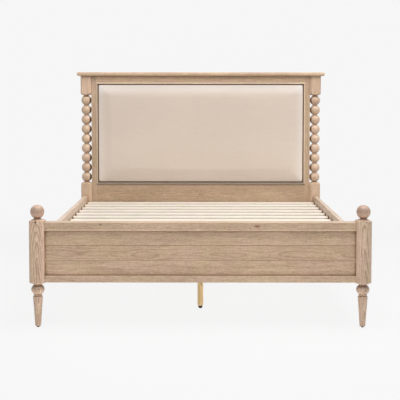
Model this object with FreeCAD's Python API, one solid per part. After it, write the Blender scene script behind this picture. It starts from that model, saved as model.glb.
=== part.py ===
import FreeCAD, Part
import os
from math import cos, radians, sin, sqrt
from FreeCAD import Vector

# Spindle bed: turned corner posts, an upholstered headboard under a moulded cap, a low
# panelled footboard, side rails with a slatted deck, and a centre beam on three legs.
# Millimetres. +X is to the right seen from the foot of the bed, +Y runs from the foot to
# the head, +Z is up. The origin is on the floor, in the middle of the length and width.

# ---- overall sizes ----
bed_width = 1630.0             # across the outer faces of the posts
bed_length = 2187.0            # front of the foot posts to the back of the head posts
bed_height = 1258.0            # floor to the top of the headboard's cap

# ---- clearances ----
glue_gap = 0.2                 # round a tenon, dowel, tongue or screw in its hole
seat_gap = 0.3                 # between a moving foot and the leg that it screws into
thread_gap = 0.1               # between a stud and the thread that it runs in
loose_gap = 1.0                # between a loose panel or beam and what frames it

# ---- corner posts ----
post_side = 72.0
post_chamfer = 9.0
turning_stock = 54.0           # lathe radius that leaves the square blocks untouched

# ---- turned leg, heights above the floor ----
glide_height = 6.0
glide_radius = 7.0
glide_flat = 3.5
glide_nail_radius = 1.5
glide_nail_length = 16.0
toe_radius = 14.0
toe_round = 4.5
taper_height = 151.5
taper_radius = 23.6
taper_round = 2.5
groove_radius = 18.0
groove_height = 2.5
ring_radius = 20.5
ring_height = 8.5
ball_radius = 31.7
ball_height = 42.5
ball_neck_radius = 19.0
leg_neck = 4.0                 # height of the neck between the ball and the block
leg_shoulder = 6.5             # rise from that neck to the block's face
leg_corner_rise = 12.0         # further rise from the face to the edge of the stock

# ---- foot posts and their finials ----
foot_block_top = 514.5
foot_cap_rise = 9.0            # the shallow pyramid on top of the block
finial_neck_radius = 16.0
finial_neck_height = 4.5
finial_radius = 33.5
finial_screw_radius = 4.0
finial_screw_depth = 22.0      # in the post, and the same in the finial

# ---- headboard posts ----
bead_count = 9
bead_pitch = 65.4
bead_radius = 34.5
bead_neck_radius = 15.5
bead_neck_height = 5.0
upper_block = 124.5            # underside of the cap to the foot of the block's face
block_shoulder = 8.0           # rise from a bead's neck to the block's face
block_corner_rise = 20.0       # further rise from the face to the edge of the stock

# ---- headboard cap and frame ----
cap_thickness = 25.0
cap_side_overhang = 22.0
cap_front_overhang = 20.0
cap_nose = 9.0
nose_limit = 0.45              # largest rounding, as a share of the board that it goes round
frame_setback = 12.0           # frame behind the front of the posts
frame_thickness = 30.0
stile_width = 32.5
head_top_rail_height = 44.0
head_bottom_rail_top = 498.0
head_bottom_rail_height = 162.0
head_tenon = 16.0              # length of the tenons on the headboard's rails
moulding_width = 9.5
moulding_proud = 4.0
moulding_sag = 1.8             # how far the moulding's rounded front falls back at its sides
moulding_depth = 18.0
pad_gap = 3.0                  # shadow gap between the moulding and the upholstery
pad_edge = 21.0                # thickness of the pad at its edges, before the crown
pad_crown = 6.0
pad_round = 11.0
pad_corner = 7.0
pad_roll_steps = 3             # flats round each rolled edge
pad_crown_steps = 3            # flats from the rolled edge to the level middle
pad_crown_reach = 0.7          # how far in towards the middle line the crown rises
pad_corner_growth = 0.25       # growth of the corner's radius for each mm drawn in
cover_thickness = 5.0
cover_lap = 20.0               # how far the rear cover laps onto the frame
cover_chamfer = 1.5
chamfer_limit = 0.4            # largest chamfer, as a share of the sheet's thickness

# ---- footboard ----
foot_rail_setback = 11.0       # rails behind the front of the posts
foot_top_rail_top = 509.0
foot_top_rail_height = 40.5
foot_top_rail_depth = 60.0
foot_bead_height = 6.0
foot_bead_proud = 2.5
foot_bottom_rail_height = 32.0
foot_bottom_rail_depth = 44.0
foot_tenon = 25.0              # length of the tenons on the footboard's rails
tenon_thickness = 12.0
tenon_shoulder = 5.0           # above and below each tenon
panel_setback = 25.0
panel_thickness = 18.0
panel_board_count = 3
panel_groove = 8.0
tongue_thickness = 6.0
tongue_height = 7.0
seam_chamfer = 1.6
arris = 2.0                    # rounding of the long edges of rails

# ---- side rails and deck ----
rail_bottom = 220.5
rail_height = 195.5
rail_thickness = 26.0
rail_inset = 18.0              # outer face of the rail behind the outer face of the post
slat_drop = 39.5               # slat tops below the rail tops
slat_thickness = 19.0
slat_width = 70.0
slat_count = 13
slat_head_gap = 12.0           # last slat to the head posts
slat_foot_gap = 131.0          # foot posts to the first slat
slat_end_gap = 1.5
slat_corner = 10.0
slat_chamfer = 1.5
ledge_width = 24.0
ledge_height = 25.0
ledge_end_gap = 8.0            # between the ledge and the corner brackets
ledge_screw_count = 5
ledge_screw_edge = 57.0        # from the ledge's ends to its outer screws

# ---- centre support ----
beam_width = 32.0
beam_height = 58.0
centre_leg_count = 3
first_centre_leg = 466.0       # behind the front of the foot posts
centre_leg_radius = 15.0
centre_leg_chamfer = 4.0
foot_height = 14.0             # levelling foot below the leg
foot_radius = 11.0
foot_flat = 5.0
foot_rim = 3.0
stud_radius = 4.0
stud_length = 40.0
leg_bolt_radius = 4.0
leg_bolt_depth = 36.0

# ---- metalwork ----
insert_radius = 6.0
insert_length = 15.0
insert_recess = 1.0
bracket_height = 118.0
bracket_leg = 60.0             # along the rail
bracket_steel = 3.0
bracket_top_gap = 6.0          # below the underside of the slats
bolt_radius = 4.0
bolt_head_radius = 6.5
bolt_head_height = 5.0
bolt_spacing = 60.0
bracket_screw_count = 3
bracket_screw_edge = 14.0      # from the bracket's ends to its outer screws
bracket_screw_reach = 42.0     # from the post to the screws
pocket_steel = 2.5
pocket_depth = 40.0
pocket_flange = 22.0
pocket_lug = 14.0              # rise of a pocket's back plate above the beam, under the slats' tops
pocket_screw_edge = 11.0       # screws below the top of the beam, and below the top of the lug
wood_screw_radius = 2.0
wood_screw_head = 4.2
long_screw = 38.0
short_screw = 17.0
dowel_radius = 4.0
dowel_in_post = 22.0
dowel_in_frame = 14.0
upper_dowels = (0.3, 0.65)     # shares of the upper block's height
lower_dowels = (0.15, 0.5, 0.82)     # shares of the stile's height beside the lower block
cap_rail_dowel = 0.6           # outer dowels of the top rail, as a share of half the opening
cover_screw_pitch = 240.0

# ---- levels and planes that follow ----
foot_front = -bed_length / 2.0
foot_back = foot_front + post_side
head_front = bed_length / 2.0 - post_side
head_back = bed_length / 2.0
post_outer = bed_width / 2.0
post_inner = post_outer - post_side
post_x = post_outer - post_side / 2.0
foot_post_y = foot_front + post_side / 2.0
head_post_y = head_front + post_side / 2.0
cap_bottom = bed_height - cap_thickness
frame_front = head_front + frame_setback
frame_back = frame_front + frame_thickness
frame_middle = frame_front + frame_thickness / 2.0
opening_half = post_inner - stile_width
opening_top = cap_bottom - head_top_rail_height
opening_bottom = head_bottom_rail_top
frame_bottom = head_bottom_rail_top - head_bottom_rail_height
moulding_front = frame_front - moulding_proud
pad_back = moulding_front + moulding_depth
pad_half = opening_half - moulding_width - pad_gap
pad_bottom = opening_bottom + moulding_width + pad_gap
pad_top = opening_top - moulding_width - pad_gap
rail_top = rail_bottom + rail_height
rail_outer = post_outer - rail_inset
rail_inner = rail_outer - rail_thickness
slat_top = rail_top - slat_drop
slat_bottom = slat_top - slat_thickness
last_slat_back = head_front - slat_head_gap
first_slat_front = foot_back + slat_foot_gap
slat_pitch = (last_slat_back - slat_width - first_slat_front) / (slat_count - 1)
ledge_inner = rail_inner - ledge_width
foot_rail_front = foot_front + foot_rail_setback
foot_rail_bottom = rail_bottom
foot_bottom_rail_top = foot_rail_bottom + foot_bottom_rail_height
foot_top_rail_bottom = foot_top_rail_top - foot_top_rail_height
panel_front = foot_front + panel_setback
panel_back = panel_front + panel_thickness
bracket_top = slat_bottom - bracket_top_gap
bracket_bottom = bracket_top - bracket_height
beam_top = slat_bottom
beam_bottom = beam_top - beam_height
centre_leg_bottom = foot_height + seat_gap
centre_leg_pitch = (bed_length - post_side - 2.0 * first_centre_leg) / (centre_leg_count - 1)

nodes = {}


# ---- shape helpers ----

def block(x0, x1, y0, y1, z0, z1):
    """A box between two corners, given in any order along each axis."""
    low = Vector(min(x0, x1), min(y0, y1), min(z0, z1))
    return Part.makeBox(abs(x1 - x0), abs(y1 - y0), abs(z1 - z0), low)


def rod(radius, start, direction, length):
    return Part.makeCylinder(radius, length, Vector(*start), Vector(*direction))


def prism(edges, sweep):
    """A solid swept from a closed outline along a vector."""
    return Part.Face(Part.Wire(edges)).extrude(Vector(*sweep))


def outline(points):
    """The straight edges through points, closed."""
    corners = [Vector(*p) for p in points]
    return Part.makePolygon(corners + corners[:1]).Edges


def arc(start, middle, end):
    return Part.Arc(Vector(*start), Vector(*middle), Vector(*end)).toShape()


def line(start, end):
    return Part.makeLine(Vector(*start), Vector(*end))


def edges_where(shape, test):
    """The straight edges of a shape whose two ends both pass a test."""
    return [e for e in shape.Edges if len(e.Vertexes) == 2 and all(test(v.Point) for v in e.Vertexes)]


def near(a, b):
    return abs(a - b) < 0.01


def upright_edges(shape):
    """The straight edges of a shape that stand parallel to Z."""
    return [e for e in shape.Edges if near(e.Vertexes[0].X, e.Vertexes[-1].X)
            and near(e.Vertexes[0].Y, e.Vertexes[-1].Y)]


def spread(low, high, edge, count):
    """Evenly spaced places between two ends, the outer ones at edge from them."""
    step = (high - low - 2.0 * edge) / (count - 1)
    return [low + edge + i * step for i in range(count)]


def mirrored(shape):
    """The same piece on the other side of the bed's middle plane."""
    return shape.mirror(Vector(0, 0, 0), Vector(1, 0, 0))


def joined(shapes):
    result = shapes[0]
    for shape in shapes[1:]:
        result = result.fuse(shape)
    return result.removeSplitter()


def screw(head, direction, length, radius=wood_screw_radius, head_radius=wood_screw_head):
    """A countersunk wood screw, its head flush at the point head."""
    cone = head_radius - radius
    neck = Vector(*head) + Vector(*direction) * cone
    top = Part.makeCone(head_radius, radius, cone, Vector(*head), Vector(*direction))
    return top.fuse(Part.makeCylinder(radius, length - cone, neck, Vector(*direction)))


class Turning:
    """A lathe profile, from the lower centre up, as a radius against a height."""

    def __init__(self, z):
        self.start = (0.0, z)
        self.end = (0.0, z)
        self.edges = []

    def to(self, radius, z):
        self.edges.append(line((self.end[0], 0, self.end[1]), (radius, 0, z)))
        self.end = (radius, z)

    def curve(self, middle_radius, middle_z, radius, z):
        start = (self.end[0], 0, self.end[1])
        self.edges.append(arc(start, (middle_radius, 0, middle_z), (radius, 0, z)))
        self.end = (radius, z)

    def solid(self, x=0.0, y=0.0):
        if self.end[0] > 0.0:
            self.to(0.0, self.end[1])
        self.edges.append(line((0, 0, self.end[1]), (0, 0, self.start[1])))
        face = Part.Face(Part.Wire(self.edges))
        turned = face.revolve(Vector(0, 0, 0), Vector(0, 0, 1), 360)
        turned.translate(Vector(x, y, 0))
        return turned


# ---- corner posts ----

def round_corner(radius):
    """Half the sag of a quarter round, for the middle point of its arc."""
    return radius * (1.0 - sqrt(0.5))


def turn_leg(profile):
    """The tapered leg, its ring and ball, and the shoulder under the square block."""
    z = glide_height
    profile.to(toe_radius - toe_round, z)
    sag = round_corner(toe_round)
    profile.curve(toe_radius - sag, z + sag, toe_radius, z + toe_round)
    profile.to(taper_radius, taper_height - taper_round)
    sag = round_corner(taper_round)
    profile.curve(taper_radius - sag, taper_height - sag, taper_radius - taper_round, taper_height)
    profile.to(groove_radius, taper_height)
    z = taper_height + groove_height
    profile.to(groove_radius, z)
    profile.curve(ring_radius, z + ring_height / 2.0, ball_neck_radius, z + ring_height)
    z += ring_height
    profile.curve(ball_radius, z + ball_height / 2.0, ball_neck_radius, z + ball_height)
    z += ball_height + leg_neck
    profile.to(ball_neck_radius, z)
    face = z + leg_shoulder
    profile.curve(post_side / 2.0, face, turning_stock, face + leg_corner_rise)


def post_blank(z0, z1, y):
    """The square stock of a left-hand post, with its long edges chamfered."""
    half = post_side / 2.0
    stock = block(-post_x - half, -post_x + half, y - half, y + half, z0, z1)
    return stock.makeChamfer(post_chamfer, upright_edges(stock))


def turn_beads(profile, neck_bottom):
    """The column of beads above the lower block."""
    half_neck = bead_neck_height / 2.0
    for i in range(bead_count):
        z = neck_bottom + i * bead_pitch
        profile.to(bead_neck_radius, z + half_neck)
        profile.curve(bead_radius, z + bead_pitch / 2.0, bead_neck_radius, z + bead_pitch - half_neck)
    profile.to(bead_neck_radius, neck_bottom + bead_count * bead_pitch)


def head_post():
    """The left head post: leg, lower block, beads and upper block from one piece of wood."""
    profile = Turning(glide_height)
    turn_leg(profile)
    face_high = cap_bottom - upper_block
    beads_top = face_high - block_shoulder
    beads_bottom = beads_top - bead_count * bead_pitch
    face_low = beads_bottom - block_shoulder
    profile.to(turning_stock, face_low - block_corner_rise)
    profile.curve(post_side / 2.0, face_low, bead_neck_radius, beads_bottom)
    turn_beads(profile, beads_bottom)
    profile.curve(post_side / 2.0, face_high, turning_stock, face_high + block_corner_rise)
    profile.to(turning_stock, cap_bottom)
    blank = post_blank(glide_height, cap_bottom, head_post_y)
    post = blank.common(profile.solid(-post_x, head_post_y))
    holes = frame_dowel_holes() + insert_holes(head_front, 1)
    return post.cut(Part.makeCompound(holes + [post_cap_hole(), glide_hole(head_post_y)]))


def foot_post():
    """The left foot post, with mortises for the rails and a groove for the panel."""
    profile = Turning(glide_height)
    turn_leg(profile)
    top = foot_block_top + foot_cap_rise
    profile.to(turning_stock, top)
    stock = post_blank(glide_height, top, foot_post_y).common(profile.solid(-post_x, foot_post_y))
    stock = stock.common(pyramid_top(top))
    cuts = [rail_mortise(foot_top_rail_bottom, foot_top_rail_height, foot_top_rail_depth),
            rail_mortise(foot_rail_bottom, foot_bottom_rail_height, foot_bottom_rail_depth),
            panel_slot(), finial_hole(top), glide_hole(foot_post_y)]
    return stock.cut(Part.makeCompound(cuts + insert_holes(foot_back, -1)))


def pyramid_top(top):
    """Everything under the post's shallow pyramid."""
    half = post_side / 2.0 + loose_gap
    low = top - foot_cap_rise
    base = Part.makePolygon([Vector(x, y, low) for x, y in square(half)])
    tip = Part.makePolygon([Vector(x, y, top) for x, y in square(finial_neck_radius)])
    roof = Part.makeLoft([base, tip], True, True)
    body = block(-half, half, -half, half, 0, low)
    shape = body.fuse(roof)
    shape.translate(Vector(-post_x, foot_post_y, 0))
    return shape


def square(half):
    return [(-half, -half), (half, -half), (half, half), (-half, half), (-half, -half)]


def glide_hole(y):
    return rod(glide_nail_radius + glue_gap, (-post_x, y, glide_height), (0, 0, 1),
               glide_nail_length + loose_gap)


def finial_hole(top):
    return rod(finial_screw_radius + glue_gap, (-post_x, foot_post_y, top), (0, 0, -1),
               finial_screw_depth + loose_gap)


def finial():
    top = foot_block_top + foot_cap_rise
    centre = top + finial_neck_height + sqrt(finial_radius ** 2 - finial_neck_radius ** 2)
    profile = Turning(top)
    profile.to(finial_neck_radius, top)
    profile.to(finial_neck_radius, top + finial_neck_height)
    profile.curve(finial_radius, centre, 0.0, centre + finial_radius)
    ball = profile.solid(-post_x, foot_post_y)
    hole = rod(finial_screw_radius + glue_gap, (-post_x, foot_post_y, top), (0, 0, 1),
               finial_screw_depth + loose_gap)
    return ball.cut(hole)


def finial_screw():
    top = foot_block_top + foot_cap_rise
    return rod(finial_screw_radius, (-post_x, foot_post_y, top - finial_screw_depth), (0, 0, 1),
               2.0 * finial_screw_depth)


def glide(y):
    """The domed nail-on glide under a post."""
    profile = Turning(0.0)
    profile.to(glide_flat, 0.0)
    lean = (glide_radius - glide_flat) * sqrt(0.5)
    profile.curve(glide_flat + lean, glide_height * (1.0 - sqrt(0.5)), glide_radius, glide_height)
    profile.to(glide_nail_radius, glide_height)
    profile.to(glide_nail_radius, glide_height + glide_nail_length)
    return profile.solid(-post_x, y)


# ---- headboard ----

def cap():
    board = block(-post_outer - cap_side_overhang, post_outer + cap_side_overhang,
                  head_front - cap_front_overhang, head_back, cap_bottom, bed_height)
    end = post_outer + cap_side_overhang
    front = head_front - cap_front_overhang
    level = [e for e in board.Edges if near(e.Vertexes[0].Z, e.Vertexes[1].Z)]
    nose = [e for e in level if all(near(v.Y, front) for v in e.Vertexes)
            or all(near(abs(v.X), end) for v in e.Vertexes) and near(e.Vertexes[0].X, e.Vertexes[1].X)]
    board = board.makeFillet(min(cap_nose, cap_thickness * nose_limit), nose)
    hole = post_cap_hole()
    return board.cut(Part.makeCompound([hole, mirrored(hole)] + rail_cap_holes()))


def rail_dowel_spots():
    """Where dowels stand up from the top rail into the cap."""
    side = opening_half * cap_rail_dowel
    return [(x, frame_middle) for x in (-side, 0.0, side)]


def upright_dowel(x, y, extra):
    """A dowel half in the cap and the rest in what is below it, or its hole."""
    radius = dowel_radius + (glue_gap if extra else 0.0)
    low = cap_bottom - dowel_in_post - extra
    return rod(radius, (x, y, low), (0, 0, 1), dowel_in_post + dowel_in_frame + 2.0 * extra)


def post_cap_hole():
    """The hole for the dowel that stands up from the left post into the cap."""
    return upright_dowel(-post_x, head_post_y, loose_gap)


def rail_cap_holes():
    return [upright_dowel(x, y, loose_gap) for x, y in rail_dowel_spots()]


def frame_dowel_levels():
    """Heights of the dowels that hold a stile to the two blocks of its post."""
    face_high = cap_bottom - upper_block
    face_low = face_high - 2.0 * block_shoulder - bead_count * bead_pitch
    upper = [face_high + upper_block * share for share in upper_dowels]
    lower = [frame_bottom + (face_low - frame_bottom) * share for share in lower_dowels]
    return upper + lower


def side_dowel(z, extra):
    """A level dowel from the left post's block into the stile, or its hole."""
    radius = dowel_radius + (glue_gap if extra else 0.0)
    start = -post_inner - dowel_in_post - extra
    return rod(radius, (start, frame_middle, z), (1, 0, 0), dowel_in_post + dowel_in_frame + 2.0 * extra)


def frame_dowel_holes():
    return [side_dowel(z, loose_gap) for z in frame_dowel_levels()]


def dowels():
    """All the wooden dowels of the headboard."""
    left = [side_dowel(z, 0.0) for z in frame_dowel_levels()]
    left.append(upright_dowel(-post_x, head_post_y, 0.0))
    return left + [mirrored(d) for d in left] + [upright_dowel(x, y, 0.0) for x, y in rail_dowel_spots()]


def head_tenon_solid(z_low, height, gap):
    """Both tenons of a headboard rail, as one bar through it."""
    half = opening_half + head_tenon + gap
    snug = min(gap, glue_gap)
    side = tenon_thickness / 2.0 + snug
    return block(-half, half, frame_middle - side, frame_middle + side,
                 z_low + tenon_shoulder - snug, z_low + height - tenon_shoulder + snug)


def stile():
    bar = block(-post_inner, -opening_half, frame_front, frame_back, frame_bottom, cap_bottom)
    cuts = [head_tenon_solid(opening_top, head_top_rail_height, loose_gap),
            head_tenon_solid(frame_bottom, head_bottom_rail_height, loose_gap)]
    bar = bar.cut(Part.makeCompound(frame_dowel_holes() + cuts))
    return bar.cut(Part.makeCompound(stile_cover_holes()))


def head_rail(z_low, height):
    body = block(-opening_half, opening_half, frame_front, frame_back, z_low, z_low + height)
    return joined([body, head_tenon_solid(z_low, height, 0.0)])


def head_top_rail():
    rail = head_rail(opening_top, head_top_rail_height)
    return rail.cut(Part.makeCompound(rail_cap_holes() + cover_holes_at(opening_top + cover_lap / 2.0)))


def head_bottom_rail():
    rail = head_rail(frame_bottom, head_bottom_rail_height)
    holes = cover_holes_at(opening_bottom - cover_lap / 2.0) + pocket_screws(frame_front, 1)
    return rail.cut(Part.makeCompound(holes))


def moulding_bar(length):
    """A mitred bar with a rounded front, its outer edge along X at z = 0."""
    w = moulding_width
    back = pad_back
    flat = moulding_front + moulding_sag
    edges = [line((0, back, 0), (0, flat, 0)),
             arc((0, flat, 0), (0, moulding_front, -w / 2.0), (0, flat, -w)),
             line((0, flat, -w), (0, back, -w)), line((0, back, -w), (0, back, 0))]
    bar = prism(edges, (length, 0, 0))
    bar.translate(Vector(-length / 2.0, 0, 0))
    half = length / 2.0
    mitre = outline([(-half, moulding_front - w, 0), (half, moulding_front - w, 0),
                     (half - w, moulding_front - w, -w), (-half + w, moulding_front - w, -w)])
    return bar.common(prism(mitre, (0, moulding_depth + 2.0 * w, 0)))


def placed_moulding(length, turn, x, z):
    bar = moulding_bar(length)
    bar.rotate(Vector(0, 0, 0), Vector(0, 1, 0), turn)
    bar.translate(Vector(x, 0, z))
    return bar


def pad_section(inset, y):
    """The pad's outline in the upright plane at y, drawn in by inset all round."""
    radius = pad_corner + inset * pad_corner_growth
    x1 = pad_half - inset
    z0 = pad_bottom + inset
    z1 = pad_top - inset
    sag = round_corner(radius)
    edges = []
    for side, low, high in ((1, z0, z1), (-1, z1, z0)):
        x = side * x1
        edges += [line((-x + side * radius, y, low), (x - side * radius, y, low)),
                  arc((x - side * radius, y, low), (x - side * sag, y, low + side * sag),
                      (x, y, low + side * radius)),
                  line((x, y, low + side * radius), (x, y, high - side * radius)),
                  arc((x, y, high - side * radius), (x - side * sag, y, high - side * sag),
                      (x - side * radius, y, high))]
    return Part.Wire(edges)


def upholstered_panel():
    """The padded panel: edges rolled to the board behind, and a front crowned all over."""
    sections = [pad_section(0.0, pad_back)]
    shoulder = pad_back - pad_edge + pad_round
    for i in range(pad_roll_steps + 1):
        turn = radians(90.0 * i / pad_roll_steps)
        inset = pad_round * (1.0 - cos(turn))
        sections.append(pad_section(inset, shoulder - pad_round * sin(turn)))
    reach = (pad_top - pad_bottom) / 2.0 - 2.0 * pad_round
    for i in range(1, pad_crown_steps + 1):
        share = i / pad_crown_steps
        inset = pad_round + reach * share * pad_crown_reach
        rise = pad_crown * (1.0 - (1.0 - share) ** 2)
        sections.append(pad_section(inset, pad_back - pad_edge - rise))
    return Part.makeLoft(sections, True, True)


def backing_board():
    gap = loose_gap
    return block(-opening_half + gap, opening_half - gap, pad_back, frame_back,
                 opening_bottom + gap, opening_top - gap)


def cover_screw_columns():
    """Places of the cover's screws along its top and bottom edges."""
    count = int(2.0 * opening_half / cover_screw_pitch)
    step = 2.0 * opening_half / count
    return [-opening_half + step * (i + 0.5) for i in range(count)]


def cover_screw_rows():
    """Heights of the cover's screws along its two upright edges."""
    span = opening_top - opening_bottom
    count = max(1, int(span / cover_screw_pitch))
    return [opening_bottom + span * (i + 0.5) / count for i in range(count)]


def cover_screw(x, z, extra=0.0):
    """A screw through the rear cover, or its hole, whose countersink the head seats in."""
    snug = min(extra, glue_gap)
    return screw((x, frame_back + cover_thickness + extra, z), (0, -1, 0),
                 short_screw + 2.0 * extra, wood_screw_radius + snug, wood_screw_head + extra)


def cover_holes_at(z):
    return [cover_screw(x, z, loose_gap) for x in cover_screw_columns()]


def stile_cover_holes():
    return [cover_screw(-opening_half - cover_lap / 2.0, z, loose_gap) for z in cover_screw_rows()]


def rear_cover():
    lap = cover_lap
    sheet = block(-opening_half - lap, opening_half + lap, frame_back, frame_back + cover_thickness,
                  opening_bottom - lap, opening_top + lap)
    rim = edges_where(sheet, lambda p: near(p.y, frame_back + cover_thickness))
    sheet = sheet.makeChamfer(min(cover_chamfer, cover_thickness * chamfer_limit), rim)
    return sheet.cut(Part.makeCompound(cover_screws(glue_gap)))


def cover_screws(extra=0.0):
    """The screws round the rear cover, or their slightly larger holes."""
    spots = [(x, z) for x in cover_screw_columns()
             for z in (opening_top + cover_lap / 2.0, opening_bottom - cover_lap / 2.0)]
    spots += [(side * (opening_half + cover_lap / 2.0), z)
              for z in cover_screw_rows() for side in (-1, 1)]
    return [cover_screw(x, z, extra) for x, z in spots]


# ---- footboard ----

def foot_tenon_solid(z_low, height, depth, gap):
    """Both tenons of a footboard rail, as one bar through it."""
    half = post_inner + foot_tenon + gap
    middle = foot_rail_front + depth / 2.0
    snug = min(gap, glue_gap)
    side = tenon_thickness / 2.0 + snug
    return block(-half, half, middle - side, middle + side,
                 z_low + tenon_shoulder - snug, z_low + height - tenon_shoulder + snug)


def rail_mortise(z_low, height, depth):
    return foot_tenon_solid(z_low, height, depth, loose_gap)


def panel_slot():
    """The groove that takes the ends of the panel, in the inner face of a foot post."""
    reach = post_inner + panel_groove + loose_gap
    return block(-reach, -post_inner + loose_gap, panel_front - glue_gap, panel_back + glue_gap,
                 foot_bottom_rail_top - panel_groove - loose_gap,
                 foot_top_rail_bottom + panel_groove + loose_gap)


def panel_edge_slot(z0, z1):
    """The groove for the panel in a footboard rail, run right through its tenons."""
    reach = post_inner + foot_tenon + loose_gap
    return block(-reach, reach, panel_front - glue_gap, panel_back + glue_gap, z0, z1)


def foot_top_rail():
    """A deep rail with an eased top and a small bead along its lower front edge."""
    front = foot_rail_front
    back = front + foot_top_rail_depth
    low = foot_top_rail_bottom
    high = foot_top_rail_top
    sag = round_corner(arris)
    bead = low + foot_bead_height
    x = -post_inner
    edges = [line((x, back, low), (x, back, high - arris)),
             arc((x, back, high - arris), (x, back - sag, high - sag), (x, back - arris, high)),
             line((x, back - arris, high), (x, front + arris, high)),
             arc((x, front + arris, high), (x, front + sag, high - sag), (x, front, high - arris)),
             line((x, front, high - arris), (x, front, bead)),
             arc((x, front, bead), (x, front - foot_bead_proud, (low + bead) / 2.0), (x, front, low)),
             line((x, front, low), (x, back, low))]
    rail = prism(edges, (2.0 * post_inner, 0, 0))
    rail = joined([rail, foot_tenon_solid(low, foot_top_rail_height, foot_top_rail_depth, 0.0)])
    return rail.cut(panel_edge_slot(low - loose_gap, low + panel_groove + loose_gap))


def foot_bottom_rail():
    front = foot_rail_front
    back = front + foot_bottom_rail_depth
    low = foot_rail_bottom
    rail = block(-post_inner, post_inner, front, back, low, foot_bottom_rail_top)
    long_edges = [e for e in rail.Edges if near(e.Vertexes[0].Y, front) and near(e.Vertexes[1].Y, front)
                  and near(e.Vertexes[0].Z, e.Vertexes[1].Z)]
    rail = rail.makeFillet(arris, long_edges)
    tenon = foot_tenon_solid(low, foot_bottom_rail_height, foot_bottom_rail_depth, 0.0)
    rail = joined([rail, tenon])
    top = foot_bottom_rail_top
    return rail.cut(panel_edge_slot(top - panel_groove - loose_gap, top + loose_gap))


def panel_board(index):
    """One of the boards of the foot panel, tongued at its top and grooved at its bottom."""
    low = foot_bottom_rail_top - panel_groove
    high = foot_top_rail_bottom + panel_groove
    seen = foot_top_rail_bottom - foot_bottom_rail_top
    seams = [foot_bottom_rail_top + seen * i / panel_board_count for i in range(1, panel_board_count)]
    z0 = ([low] + seams)[index]
    z1 = (seams + [high])[index]
    reach = post_inner + panel_groove
    board = block(-reach, reach, panel_front, panel_back, z0, z1)
    middle = (panel_front + panel_back) / 2.0
    half = tongue_thickness / 2.0
    seam_edges = [e for e in board.Edges if near(e.Vertexes[0].Y, panel_front)
                  and near(e.Vertexes[1].Y, panel_front) and near(e.Vertexes[0].Z, e.Vertexes[1].Z)
                  and any(near(e.Vertexes[0].Z, seam) for seam in seams)]
    board = board.makeChamfer(seam_chamfer, seam_edges)
    if index > 0:
        groove = block(-reach - loose_gap, reach + loose_gap, middle - half - glue_gap,
                       middle + half + glue_gap, z0 - loose_gap, z0 + tongue_height + loose_gap)
        board = board.cut(groove)
    if index < panel_board_count - 1:
        board = joined([board, block(-reach, reach, middle - half, middle + half, z1, z1 + tongue_height)])
    return board.cut(Part.makeCompound(pocket_screws(panel_back, -1)))


# ---- side rails and deck ----

def side_rail():
    rail = block(-rail_outer, -rail_inner, foot_back, head_front, rail_bottom, rail_top)
    long_edges = [e for e in rail.Edges if near(e.Vertexes[0].X, e.Vertexes[1].X)
                  and near(e.Vertexes[0].Z, e.Vertexes[1].Z)]
    rail = rail.makeFillet(arris, long_edges)
    return rail.cut(Part.makeCompound(bracket_screws(True) + ledge_screws(True)))


def ledge_ends():
    gap = bracket_leg + ledge_end_gap
    return foot_back + gap, head_front - gap


def slat_ledge():
    start, end = ledge_ends()
    strip = block(-rail_inner, -ledge_inner, start, end, slat_bottom - ledge_height, slat_bottom)
    holes = [slat_screw(slat_front(i), True) for i in range(slat_count)]
    return strip.cut(Part.makeCompound(ledge_screws(True) + holes))


def ledge_screws(holes=False):
    """Screws through the left ledge into its rail."""
    start, end = ledge_ends()
    grow = glue_gap if holes else 0.0
    return [screw((-ledge_inner + grow, y, slat_bottom - ledge_height / 2.0), (-1, 0, 0),
                  long_screw + 2.0 * grow, wood_screw_radius + grow, wood_screw_head + grow)
            for y in spread(start, end, ledge_screw_edge, ledge_screw_count)]


def slat_front(index):
    return first_slat_front + index * slat_pitch


def slat_screw(front, holes=False):
    """The screw through a slat's left end into the ledge."""
    grow = glue_gap if holes else 0.0
    spot = (-rail_inner + ledge_width / 2.0, front + slat_width / 2.0, slat_top + grow)
    return screw(spot, (0, 0, -1), long_screw + 2.0 * grow,
                 wood_screw_radius + grow, wood_screw_head + grow)


def slat(index):
    """A slat with rounded ends and eased upper edges, screwed down at both ends."""
    front = slat_front(index)
    end = rail_inner - slat_end_gap
    bar = block(-end, end, front, front + slat_width, slat_bottom, slat_top)
    bar = bar.makeFillet(slat_corner, upright_edges(bar))
    rim = [e for e in bar.Edges if all(near(v.Z, slat_top) for v in e.Vertexes)]
    bar = bar.makeChamfer(slat_chamfer, rim)
    hole = slat_screw(front, True)
    return bar.cut(Part.makeCompound([hole, mirrored(hole)]))


# ---- centre support ----

def beam():
    start = panel_back + pocket_steel + loose_gap
    end = frame_front - pocket_steel - loose_gap
    bar = block(-beam_width / 2.0, beam_width / 2.0, start, end, beam_bottom, beam_top)
    holes = [leg_bolt(y, loose_gap) for y in centre_leg_places()]
    return bar.cut(Part.makeCompound(holes))


def centre_leg_places():
    return [foot_front + first_centre_leg + i * centre_leg_pitch for i in range(centre_leg_count)]


def leg_bolt(y, extra=0.0):
    """The threaded rod between a centre leg and the beam, or its hole."""
    radius = leg_bolt_radius + min(extra, glue_gap)
    return rod(radius, (0, y, beam_bottom - leg_bolt_depth - extra), (0, 0, 1),
               2.0 * leg_bolt_depth + 2.0 * extra)


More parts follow.
